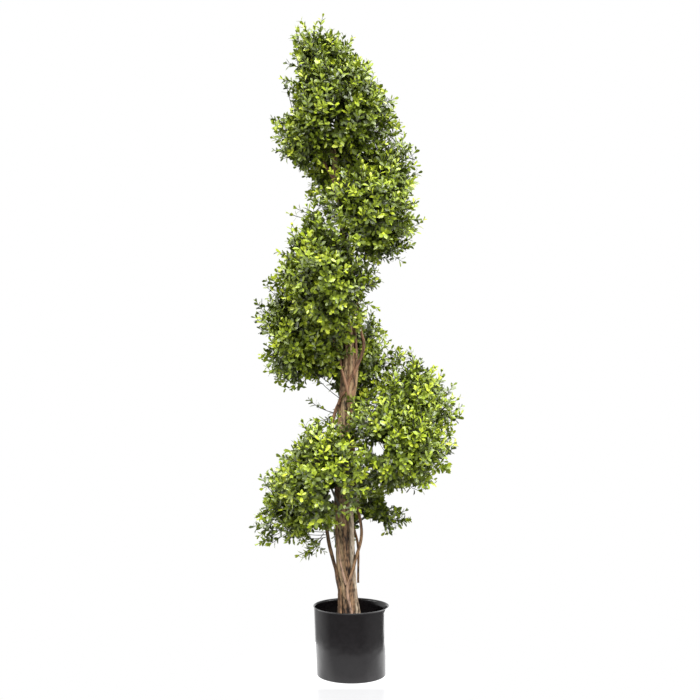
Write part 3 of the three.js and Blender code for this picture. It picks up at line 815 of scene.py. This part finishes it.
def crown_depth(points):
    """How deep each point lies under the crown's skin, and under each mass's: the soft maximum of the masses'
    depths, MERGE x log(sum of exp(depth / MERGE)), plus the swells and the rise of the clumps there."""
    depths = depth_in_masses(points)
    most = depths.max(1)
    joined = most + MERGE * np.log(np.exp((depths - most[:, None]) / MERGE).sum(1))
    x, z = seen_from_front(points)
    apart = np.hypot(x[:, None] - SWELLS[:, 0], z[:, None] - SWELLS[:, 1]) / SWELLS[:, 2]
    near = np.clip(SWELL_END - np.abs(points[:, 1]) / SWELL_REACH, 0, 1)
    swells = (SWELLS[:, 3] * np.exp(-(apart**2))).sum(1) * near
    return joined - SINK + swells + CLUMP_RISE * waves(points, CLUMP, 11), depths


def outside_core(points, share=1.0):
    """Whether each point is outside the bare space round the stem, whose radius falls from foot to top."""
    height = np.clip(points[:, 2], MORTAR["foot"], STEM_TOP)
    s = (points[:, 2] - MORTAR["top"]) / (STEM_TOP + CORE["over"] - MORTAR["top"])
    bare = share * (CORE["foot"] + (CORE["top"] - CORE["foot"]) * np.clip(s, 0, 1))
    apart = points - stem_middle(height)
    return (np.hypot(apart[:, 0], apart[:, 1]) > bare) | (points[:, 2] > STEM_TOP + CORE["over"])


def on_skin(index, d):
    """The point of a mass's skin in each local direction, and the outward normal of its plain egg there."""
    axes, half = Masses.axes[index], Masses.half[index]
    surface_point = (d * half * swell(d, index)[:, None]) @ axes
    return surface_point, unit((d / half) @ axes)


def mass_area(index):
    """The area of the plain egg, by Thomsen's formula: 4 pi (mean of the products of half sizes ^1.6)
    ^(1/1.6)."""
    a, b, c = Masses.half[index]
    products = np.array([a * b, a * c, b * c])
    return 4 * math.pi * np.mean(products**1.6) ** (1 / 1.6)


def bough_path(index, u):
    """The bough's parabola from the stem's middle to the mass's middle, sagging below the chord."""
    middle, drop = Masses.middle[index], BOUGH["drop"] * Masses.half[index, 2]
    root = stem_middle(np.array(min(middle[2] - drop, STEM_TOP - 30 * MM)))
    bend = (root + middle) / 2 - [0, 0, BOUGH["sag"]]
    return bezier(root, bend, middle, u)


def limb_paths(index):
    """Parabolas from points along the bough to points in even directions, part of the way out to the skin.
    Limbs that would run into a neighbour or the bare core are left out."""
    out, _ = on_skin(index, sphere_directions(LIMB["count"]))
    ends = Masses.middle[index] + LIMB["reach"] * out
    depths = depth_in_masses(ends)
    own = depths[:, index].copy()
    depths[:, index] = -1
    ends = ends[(depths.max(1) < own + LIMB["under"]) & outside_core(ends, 0.8)]
    starts = bough_path(index, random.uniform(*LIMB["stretch"], len(ends)))
    bends = starts * 0.4 + ends * 0.6 - [0, 0, LIMB["sag"]]
    return bezier(starts[:, None], bends[:, None], ends[:, None], np.linspace(0, 1, 10))


def twig_tips(index):
    """Tips, their directions, pairs of leaves and tones, in shells under the crown's skin. Each tip starts
    on the mass's own skin and slides along its line from the middle until the crown is as deep there as
    its shell. It is kept where this mass holds it deepest, so that masses share the space where they meet."""
    found = []
    for depth, spacing, scatter, pairs, tone in SHELLS:
        count = int(mass_area(index) / spacing**2)
        uneven = 0.35 * spacing / Masses.half[index].mean()
        d = unit(sphere_directions(count) + random.normal(0, uneven, (count, 3)))
        out, normal = on_skin(index, d)
        reach = np.linalg.norm(out, axis=-1)
        outward = out / reach[:, None]
        sunk = depth + scatter * random.normal(0, 0.6, count)
        reach = reach - sunk
        for _ in range(3):
            deep, depths = crown_depth(Masses.middle[index] + outward * reach[:, None])
            reach = reach + deep - sunk
        tips = Masses.middle[index] + outward * reach[:, None]
        keep = (depths.argmax(1) == index) & outside_core(tips, 0.85)
        keep &= reach > 0.1 * Masses.half[index].min()
        lean = 0.75 * normal + [0, 0, 0.35] + random.normal(0, 0.28, (count, 3))
        n = keep.sum()
        found.append((tips[keep], unit(lean)[keep], np.full(n, pairs), np.full(n, tone)))
    return [np.concatenate(column) for column in zip(*found)]


def seen_from_front(points):
    """Where each point appears from the viewer's place in front, on the plane of the stem."""
    share = -EYE[1] / (points[:, 1] - EYE[1])
    seen = EYE + (points - EYE) * share[:, None]
    return seen[:, 0], seen[:, 2]


def open_places(points):
    """The share of leaves gone at each point: each opening's own share inside its ellipse, fading at its
    edge."""
    x, z = seen_from_front(points)
    gone = np.zeros(len(points))
    ragged = 1 + 0.24 * waves(points, 15 * MM, 5)
    for middle_x, middle_z, half_width, half_height, share in OPENINGS:
        r = np.hypot((x - middle_x) / half_width, (z - middle_z) / half_height) * ragged
        gone = np.maximum(gone, share * np.clip((1.15 - r) / 0.3, 0, 1))
    return gone


def open_along(paths):
    """The most open place along each path."""
    return open_places(paths.reshape(-1, 3)).reshape(len(paths), -1).max(1)


# A leaf seen flat, along, across and over: pointed foot, widest past the middle, blunt tip, its sides
# cupped up.
LEAF_POINTS = np.array([
    [0, 0, 0], [0.36, 0.36, 0.12], [0.36, 0, 0.02], [0.36, -0.36, 0.12],
    [0.74, 0.46, 0.08], [0.74, 0, -0.01], [0.74, -0.46, 0.08], [1, 0, -0.1],
])
LEAF_FACES = np.array([
    [0, 3, 2], [0, 2, 1], [2, 3, 6], [2, 6, 5], [2, 5, 4], [2, 4, 1], [5, 6, 7], [5, 7, 4],
])


def leaves(feet, along, over, length):
    """Points and triangles of leaves: the flat outline times each leaf's length and width, laid along
    `along` with its upper side to `over`."""
    across = np.cross(over, along)
    width = length * LEAF["width"] * random.uniform(0.85, 1.12, len(length))
    cup = width * random.uniform(0.4, 1.6, len(length))
    outline = LEAF_POINTS[None]
    points = (
        feet[:, None]
        + outline[..., :1] * (along * length[:, None])[:, None]
        + outline[..., 1:2] * (across * width[:, None])[:, None]
        + outline[..., 2:] * (over * cup[:, None])[:, None]
    )
    offsets = np.arange(len(feet))[:, None, None] * len(LEAF_POINTS)
    return points.reshape(-1, 3), (LEAF_FACES + offsets).reshape(-1, 3)


def leafy_twigs(roots, tips, directions, pairs, tone):
    """Twigs as parabolas that arrive at their tips along their directions, and their leaves in crossed
    pairs from the tip down, each pair a quarter turn from the last. Returns the twigs' paths and the
    leaves' feet, directions, upper sides, lengths, greens and twigs."""
    length = np.linalg.norm(tips - roots, axis=-1)
    bends = tips - directions * (0.5 * length)[:, None]
    paths = bezier(roots[:, None], bends[:, None], tips[:, None], np.linspace(0, 1, 5))
    most = int(pairs.max())
    k = np.arange(most)
    back = LEAF["first"] + LEAF["spacing"] * k
    u = 1 - back / (1.05 * length[:, None])
    shown = (u > 0.1) & (k < pairs[:, None])
    feet = bezier(roots[:, None], bends[:, None], tips[:, None], u)
    slope = (1 - u)[..., None] * (bends - roots)[:, None] + u[..., None] * (tips - bends)[:, None]
    ahead = unit(slope)
    reference = unit(random.normal(0, 1, (len(tips), 1, 3)))
    side = unit(np.cross(ahead, reference))
    other = np.cross(ahead, side)
    turn = random.uniform(0, TURN, (len(tips), 1)) + k * TURN / 4 + random.normal(0, 0.22, (len(tips), most))
    age = np.minimum(k, len(LEAF_SIZES) - 1)
    opening = LEAF_SPREAD[age] + random.normal(0, 0.17, (len(tips), most))
    size = LEAF_SIZES[age] * random.normal(1, 0.09, (len(tips), most))
    green = first_green(tone)[:, None] + GREEN_STEPS[:most]
    green = np.clip(green + (random.random((len(tips), most)) < 0.25), 0, len(LEAF_GREENS) - 1)
    whose = np.arange(len(tips))[:, None] + 0 * k
    parts = []
    for half_turn in (0, math.pi):
        angle = (turn + half_turn)[..., None]
        radial = side * np.cos(angle) + other * np.sin(angle)
        lean = (opening + random.normal(0, 0.12, opening.shape))[..., None]
        along = np.cos(lean) * ahead + np.sin(lean) * radial
        over = np.sin(lean) * ahead - np.cos(lean) * radial
        parts.append([field[shown] for field in (feet, along, over, LEAF["length"] * size, green, whose)])
    return paths, [np.concatenate(column) for column in zip(*parts)]


def first_green(tone):
    """The green of a twig's tip: a seeded draw whose odds go from lime outside to olive inside, partly the
    plant's own darker green and partly painted shade.
    """
    draw = random.random(len(tone))
    return (draw[:, None] > TIP_ODDS[tone]).sum(1)


def leaf_piece(name, blades, greens, *nodes):
    """Leaves as one piece, each in its own green."""
    feet, along, over, length, green = blades
    points, triangles = leaves(feet, along, over, length)
    indices = np.repeat(green, len(LEAF_FACES))
    place(mesh_piece(name, points, triangles, greens, indices), "leaves", *nodes)


def foliage(first, wire, greens):
    """A stretch of masses: their boughs and limbs as one piece, their twigs as another and their leaves as a
    third. Limbs and twigs that cross an opening are left out, and a leaf goes with its twig."""
    boughs, limbs, twigs, blades = [], [], [], []
    stretch = range(first, min(first + MASSES_IN_PIECE, MASSES))
    for index in stretch:
        paths = limb_paths(index)
        boughs.append(bough_path(index, np.linspace(0, 1, 14)))
        paths = paths[open_along(paths) < 0.5]
        limbs.append(paths)
        holds = np.concatenate([paths.reshape(-1, 3), bough_path(index, np.linspace(0.4, 1, 8))])
        tips, directions, pairs, tone = twig_tips(index)
        wanted = tips - directions * TWIG_LENGTH
        nearest = np.linalg.norm(wanted[:, None] - holds, axis=-1).argmin(1)
        paths, (*leaf, whose) = leafy_twigs(holds[nearest], tips, directions, pairs, tone)
        grown = random.random(len(paths)) > open_along(paths)
        twigs.append(paths[grown])
        kept = random.random(len(leaf[0])) > open_places(leaf[0] + leaf[1] * LEAF["middle"])
        blades.append([field[kept & grown[whose]] for field in leaf])
    name = f"{first + 1:02d}_to_{stretch[-1] + 1:02d}"
    numbers = [f"{index + 1:02d}" for index in stretch]

    bough_mesh = tubes(np.array(boughs), BOUGH["radius"], 10)
    limb_mesh = tubes(np.concatenate(limbs), LIMB_RADIUS, 6)
    points = np.concatenate([bough_mesh[0], limb_mesh[0]])
    triangles = np.concatenate([bough_mesh[1], limb_mesh[1] + len(bough_mesh[0])])
    piece = mesh_piece("limbs_" + name, points, triangles, [wire])
    place(piece, "bough_wire", *["bough_" + number for number in numbers])
    piece = mesh_piece("twigs_" + name, *tubes(np.concatenate(twigs), TWIG_RADIUS, 3), [wire])
    place(piece, "bough_wire")
    blades = [np.concatenate(column) for column in zip(*blades)]
    leaf_piece("leaves_" + name, blades, greens, *["leaf_mass_" + number for number in numbers])


def strays(wire, greens):
    """The wires and sprays of STRAYS: parabolas that rise a little at their tips, with leaves in crossed
    pairs."""
    starts, ends = STRAYS[:, :3] * MM, STRAYS[:, 3:6] * MM
    directions = unit(unit(ends - starts) + [0, 0, 0.25] + random.normal(0, 0.12, starts.shape))
    tone = np.arange(len(STRAYS)) % 2
    paths, (*blades, _) = leafy_twigs(starts, ends, directions, STRAYS[:, 6], tone)
    place(mesh_piece("twigs_stray", *tubes(paths, STRAY_RADIUS, 5), [wire]), "bough_wire")
    leaf_piece("leaves_stray", blades, greens)


# ---- Stage ----
def lit_sheet():
    """A disc of white acrylic on the floor, lit from below, brighter to the back."""
    settings = {"Emission Color": (1, 1, 1, 1)}
    material, tree, shader = surface("white_acrylic", "#606062", 0.22, 1.49, **settings)
    where = node(tree, "ShaderNodeTexCoord").outputs["Object"]
    back = node(tree, "ShaderNodeSeparateXYZ", {0: where}).outputs["Y"]
    near, far, dim, bright = SHEET["light"]
    light = node(tree, "ShaderNodeMapRange", {0: back, 1: near, 2: far, 3: dim, 4: bright}).outputs[0]
    tree.links.new(light, shader.inputs["Emission Strength"])
    around = np.arange(SHEET["sides"])
    turn = around / SHEET["sides"] * TURN
    edge = SHEET["radius"] * np.stack([np.cos(turn), np.sin(turn), 0 * turn], -1)
    points = np.concatenate([edge, [[0, 0, 0]]])
    triangles = np.stack([np.full(SHEET["sides"], SHEET["sides"]), around, np.roll(around, -1)], -1)
    mesh_piece("studio_sheet", points, triangles, [material])


def surround():
    """Soft light from all round and from GLOWS, where each wall's light grows with the cosine of the angle
    to it. The ground behind the plant shows white."""
    world = bpy.data.worlds.new("studio")
    world.use_nodes = True
    tree = world.node_tree
    way = node(tree, "ShaderNodeTexCoord").outputs["Generated"]
    light = GLOW
    for towards, edge, full, strength in GLOWS:
        sides = {0: way, 1: towards}
        along = node(tree, "ShaderNodeVectorMath", sides, operation="DOT_PRODUCT").outputs["Value"]
        glow = node(tree, "ShaderNodeMapRange", {0: along, 1: edge, 2: full, 4: strength}).outputs[0]
        light = node(tree, "ShaderNodeMath", {0: light, 1: glow}, operation="ADD").outputs[0]
    seen = node(tree, "ShaderNodeLightPath").outputs["Is Camera Ray"]
    ground = node(tree, "ShaderNodeMix", {0: seen, 2: light, 3: 1.0}).outputs[0]
    tree.nodes["Background"].inputs["Color"].default_value = (1, 1, 1, 1)
    tree.links.new(ground, tree.nodes["Background"].inputs["Strength"])
    bpy.context.scene.world = world


def lamp(name, kind, energy, spot, turned):
    """Adds a light of a kind at its spot, turned, and returns its data."""
    light = bpy.data.lights.new(name, kind)
    light.energy = energy
    holder = bpy.data.objects.new(name, light)
    holder.location = spot
    holder.rotation_euler = turned
    bpy.context.scene.collection.objects.link(holder)
    return light


def lamps():
    """The broad light overhead, and the soft boxes, each turned to BOX_AIM."""
    lamp("overhead", "SUN", SUN["strength"], (0, 0, 0), SUN["turned"]).angle = SUN["wide"]
    for name, (spot, size, power) in BOXES.items():
        x, y, z = BOX_AIM - spot
        turned = (math.atan2(math.hypot(x, y), -z), 0, math.atan2(x, -y) + math.pi)
        lamp(name, "AREA", power, spot, turned).size = size


def camera():
    """A level camera in front, on the plant's middle."""
    data = bpy.data.cameras.new("camera")
    data.lens = LENS
    data.sensor_width = SENSOR
    eye = bpy.data.objects.new("camera", data)
    eye.location = EYE
    eye.rotation_euler = (math.pi / 2, 0, 0)
    bpy.context.scene.collection.objects.link(eye)
    bpy.context.scene.camera = eye


# ---- Assembly ----
camera()
lit_sheet()
surround()
lamps()
bpy.context.scene.view_settings.view_transform = "Standard"

trunk_stops = [(0.05, "#130c08"), (0.34, "#36271a"), (0.62, "#6a503a"), (1.0, "#9c7c5b")]
trunk_bark = bark("dry_trunk_bark", trunk_stops, "#c6aa84", "#8f6b50", 3 * MM, 1.6 * MM)
wood_stops = [(0.0, "#3f3122"), (0.4, "#94806a"), (1.0, "#d0c0a8")]
pale_wood = bark("peeled_sapwood", wood_stops, "#dccfb8", "#c9a98c", 4 * MM, 1.0 * MM)
vine_stops = [(0.0, "#20150d"), (0.5, "#664d37"), (1.0, "#9c7a58")]
vine_bark = bark("dry_vine_bark", vine_stops, "#bb9a83", "#8e684d", 3 * MM, 0.8 * MM)
trunk(trunk_bark)
climber("side_stem", pale_wood, "pale_wood", 31, sides=32)
for order, vine in enumerate(list(CLIMBERS)[1:]):
    climber(vine, vine_bark, "vine_bark", 40 + 10 * order)
pot(moulded_polypropylene())
mortar(cement_mortar())

wire = coated_wire()
greens = [moulded_leaf(name, colour) for name, colour in LEAF_GREENS.items()]
for first in range(0, MASSES, MASSES_IN_PIECE):
    foliage(first, wire, greens)
strays(wire, greens)
